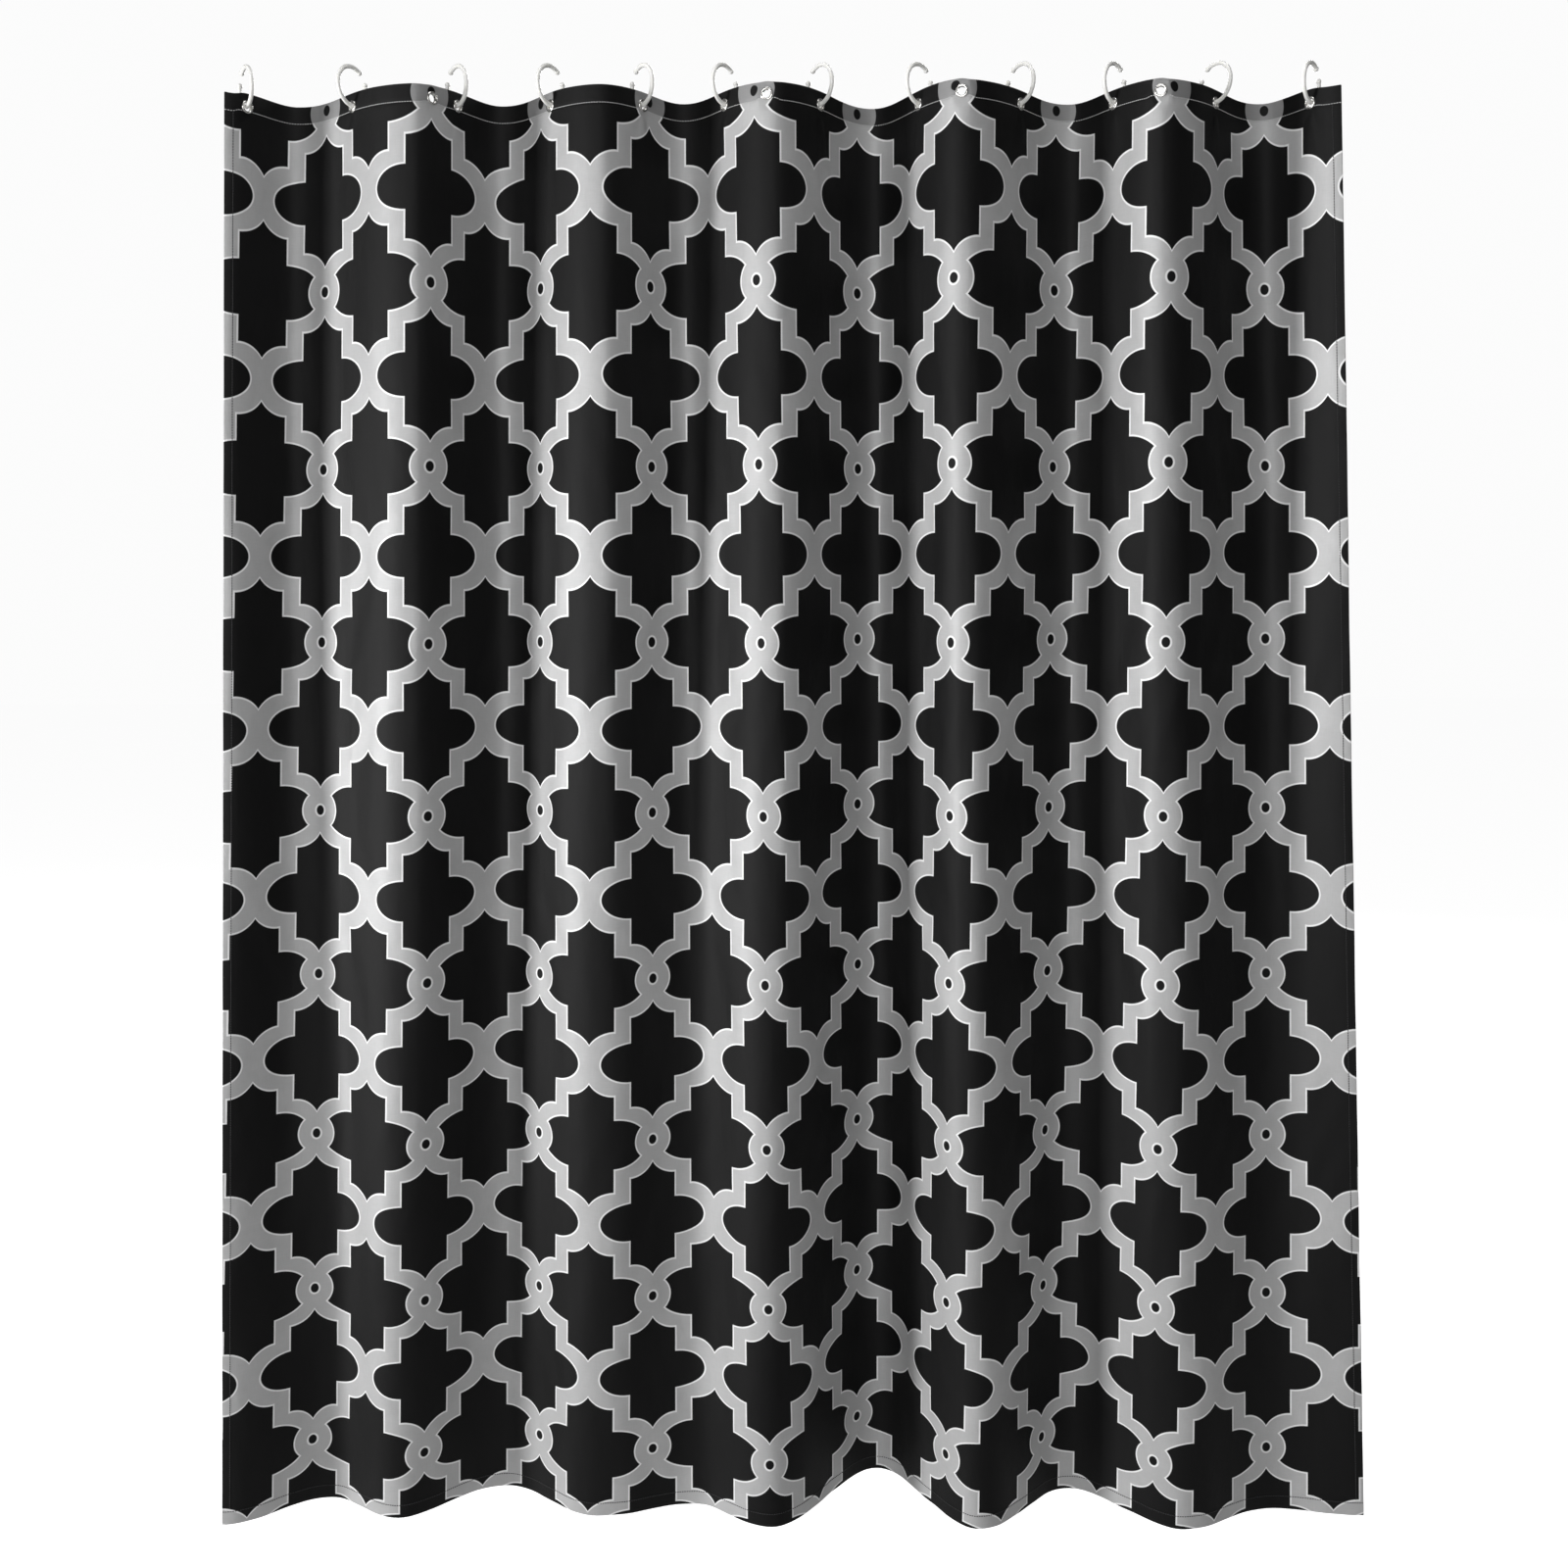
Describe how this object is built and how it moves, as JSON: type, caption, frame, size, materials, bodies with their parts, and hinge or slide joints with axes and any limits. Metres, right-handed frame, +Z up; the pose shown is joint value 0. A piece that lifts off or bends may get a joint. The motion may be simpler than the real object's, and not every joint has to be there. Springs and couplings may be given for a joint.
{
  "type": "shower curtain",
  "caption": "Hung woven shower curtain with a stitched top hem, metal eyelets and open plastic rings that ride on a rod.",
  "frame": {"origin": "on the axis of the rod that the rings hang on, at mid-width; the rod itself is not part of the row", "axes": "+X along the rod to the viewer's right, -Y to the room, +Y to the bath, +Z up"},
  "size_m": [1.5281, 0.147, 1.8611],
  "materials": {
    "cloth": "black polyester weave with a satin grey trellis print",
    "hem": "folded and stitched polyester weave",
    "eyelet": "bright nickel plate",
    "ring": "white moulded plastic, slightly glossy"
  },
  "bodies": {
    "curtain": {"curtain_cloth": "cloth", "top_hem": "hem", "bottom_hem": "hem", "left_side_hem": "hem", "right_side_hem": "hem", "eyelet_01": "eyelet", "washer_01": "eyelet"},
    "eyelet_02": {"eyelet_02": "eyelet", "washer_02": "eyelet"},
    "eyelet_03": {"eyelet_03": "eyelet", "washer_03": "eyelet"},
    "eyelet_04": {"eyelet_04": "eyelet", "washer_04": "eyelet"},
    "eyelet_05": {"eyelet_05": "eyelet", "washer_05": "eyelet"},
    "eyelet_06": {"eyelet_06": "eyelet", "washer_06": "eyelet"},
    "eyelet_07": {"eyelet_07": "eyelet", "washer_07": "eyelet"},
    "eyelet_08": {"eyelet_08": "eyelet", "washer_08": "eyelet"},
    "eyelet_09": {"eyelet_09": "eyelet", "washer_09": "eyelet"},
    "eyelet_10": {"eyelet_10": "eyelet", "washer_10": "eyelet"},
    "eyelet_11": {"eyelet_11": "eyelet", "washer_11": "eyelet"},
    "eyelet_12": {"eyelet_12": "eyelet", "washer_12": "eyelet"},
    "spare_eyelet_1": {"spare_eyelet_1": "eyelet", "spare_washer_1": "eyelet"},
    "spare_eyelet_2": {"spare_eyelet_2": "eyelet", "spare_washer_2": "eyelet"},
    "spare_eyelet_3": {"spare_eyelet_3": "eyelet", "spare_washer_3": "eyelet"},
    "spare_eyelet_4": {"spare_eyelet_4": "eyelet", "spare_washer_4": "eyelet"},
    "hook_01": {"hook_01": "ring"},
    "hook_02": {"hook_02": "ring"},
    "hook_03": {"hook_03": "ring"},
    "hook_04": {"hook_04": "ring"},
    "hook_05": {"hook_05": "ring"},
    "hook_06": {"hook_06": "ring"},
    "hook_07": {"hook_07": "ring"},
    "hook_08": {"hook_08": "ring"},
    "hook_09": {"hook_09": "ring"},
    "hook_10": {"hook_10": "ring"},
    "hook_11": {"hook_11": "ring"},
    "hook_12": {"hook_12": "ring"}
  },
  "joints": [
    {"name": "draw", "type": "slide", "parent": "curtain", "child": "eyelet_12", "axis": [1, 0, 0], "range_m": [-0.7665, 0], "deforming": ["curtain_cloth", "top_hem", "bottom_hem", "left_side_hem", "right_side_hem"]},
    {"name": "slide_02", "type": "slide", "parent": "curtain", "child": "eyelet_02", "axis": [1, 0, 0], "range_m": [-0.0769, 0.0005]},
    {"name": "slide_03", "type": "slide", "parent": "curtain", "child": "eyelet_03", "axis": [1, 0, 0], "range_m": [-0.1523, 0.0005]},
    {"name": "slide_04", "type": "slide", "parent": "curtain", "child": "eyelet_04", "axis": [1, 0, 0], "range_m": [-0.2196, 0.0005]},
    {"name": "slide_05", "type": "slide", "parent": "curtain", "child": "eyelet_05", "axis": [1, 0, 0], "range_m": [-0.2856, 0.0005]},
    {"name": "slide_06", "type": "slide", "parent": "curtain", "child": "eyelet_06", "axis": [1, 0, 0], "range_m": [-0.3449, 0.0005]},
    {"name": "slide_07", "type": "slide", "parent": "curtain", "child": "eyelet_07", "axis": [1, 0, 0], "range_m": [-0.4135, 0.0005]},
    {"name": "slide_08", "type": "slide", "parent": "curtain", "child": "eyelet_08", "axis": [1, 0, 0], "range_m": [-0.4849, 0.0005]},
    {"name": "slide_09", "type": "slide", "parent": "curtain", "child": "eyelet_09", "axis": [1, 0, 0], "range_m": [-0.5578, 0.0005]},
    {"name": "slide_10", "type": "slide", "parent": "curtain", "child": "eyelet_10", "axis": [1, 0, 0], "range_m": [-0.6253, 0.0005]},
    {"name": "slide_11", "type": "slide", "parent": "curtain", "child": "eyelet_11", "axis": [1, 0, 0], "range_m": [-0.6981, 0.0005]},
    {"name": "slide_spare_1", "type": "slide", "parent": "curtain", "child": "spare_eyelet_1", "axis": [1, 0, 0], "range_m": [-0.1383, 0.0005]},
    {"name": "slide_spare_2", "type": "slide", "parent": "curtain", "child": "spare_eyelet_2", "axis": [1, 0, 0], "range_m": [-0.3755, 0.0005]},
    {"name": "slide_spare_3", "type": "slide", "parent": "curtain", "child": "spare_eyelet_3", "axis": [1, 0, 0], "range_m": [-0.5121, 0.0005]},
    {"name": "slide_spare_4", "type": "slide", "parent": "curtain", "child": "spare_eyelet_4", "axis": [1, 0, 0], "range_m": [-0.6517, 0.0005]},
    {"name": "turn_01", "type": "hinge", "parent": "curtain", "child": "hook_01", "pos_m": [-0.6419, -0.00003, -0.012], "axis": [-0.8081, -0.589, 0], "range_deg": [-60, 60]},
    {"name": "turn_02", "type": "hinge", "parent": "eyelet_02", "child": "hook_02", "pos_m": [-0.51456, 0.00006, -0.012], "axis": [-0.863, 0.5051, 0], "range_deg": [-60, 60]},
    {"name": "turn_03", "type": "hinge", "parent": "eyelet_03", "child": "hook_03", "pos_m": [-0.38898, 0.00025, -0.012], "axis": [-0.7511, -0.6602, 0], "range_deg": [-60, 60]},
    {"name": "turn_04", "type": "hinge", "parent": "eyelet_04", "child": "hook_04", "pos_m": [-0.27671, 0.00006, -0.012], "axis": [-0.8349, 0.5504, 0], "range_deg": [-60, 60]},
    {"name": "turn_05", "type": "hinge", "parent": "eyelet_05", "child": "hook_05", "pos_m": [-0.16677, -0.00003, -0.012], "axis": [-0.793, -0.6092, 0], "range_deg": [-60, 60]},
    {"name": "turn_06", "type": "hinge", "parent": "eyelet_06", "child": "hook_06", "pos_m": [-0.06789, -0.00033, -0.012], "axis": [-0.8028, 0.5962, 0], "range_deg": [-60, 60]},
    {"name": "turn_07", "type": "hinge", "parent": "eyelet_07", "child": "hook_07", "pos_m": [0.04634, 0.00033, -0.012], "axis": [-0.7832, -0.6217, 0], "range_deg": [-60, 60]},
    {"name": "turn_08", "type": "hinge", "parent": "eyelet_08", "child": "hook_08", "pos_m": [0.16535, 0.00019, -0.012], "axis": [-0.7196, 0.6943, 0], "range_deg": [-60, 60]},
    {"name": "turn_09", "type": "hinge", "parent": "eyelet_09", "child": "hook_09", "pos_m": [0.28695, -0.00016, -0.012], "axis": [-0.8223, -0.5691, 0], "range_deg": [-60, 60]},
    {"name": "turn_10", "type": "hinge", "parent": "eyelet_10", "child": "hook_10", "pos_m": [0.39946, 0.00008, -0.012], "axis": [-0.7332, 0.68, 0], "range_deg": [-60, 60]},
    {"name": "turn_11", "type": "hinge", "parent": "eyelet_11", "child": "hook_11", "pos_m": [0.52073, -0.00034, -0.012], "axis": [-0.8283, -0.5603, 0], "range_deg": [-60, 60]},
    {"name": "turn_12", "type": "hinge", "parent": "eyelet_12", "child": "hook_12", "pos_m": [0.63554, -0.0001, -0.012], "axis": [-0.7613, 0.6483, 0], "range_deg": [-60, 60]}
  ],
  "couplings": [
    {"joint": "slide_02", "follows": "draw", "ratio": 0.09968},
    {"joint": "slide_03", "follows": "draw", "ratio": 0.19799},
    {"joint": "slide_04", "follows": "draw", "ratio": 0.28588},
    {"joint": "slide_05", "follows": "draw", "ratio": 0.37194},
    {"joint": "slide_06", "follows": "draw", "ratio": 0.44935},
    {"joint": "slide_07", "follows": "draw", "ratio": 0.53876},
    {"joint": "slide_08", "follows": "draw", "ratio": 0.63193},
    {"joint": "slide_09", "follows": "draw", "ratio": 0.72712},
    {"joint": "slide_10", "follows": "draw", "ratio": 0.81519},
    {"joint": "slide_11", "follows": "draw", "ratio": 0.91013},
    {"joint": "slide_spare_1", "follows": "draw", "ratio": 0.17973},
    {"joint": "slide_spare_2", "follows": "draw", "ratio": 0.48923},
    {"joint": "slide_spare_3", "follows": "draw", "ratio": 0.66743},
    {"joint": "slide_spare_4", "follows": "draw", "ratio": 0.8496}
  ]
}
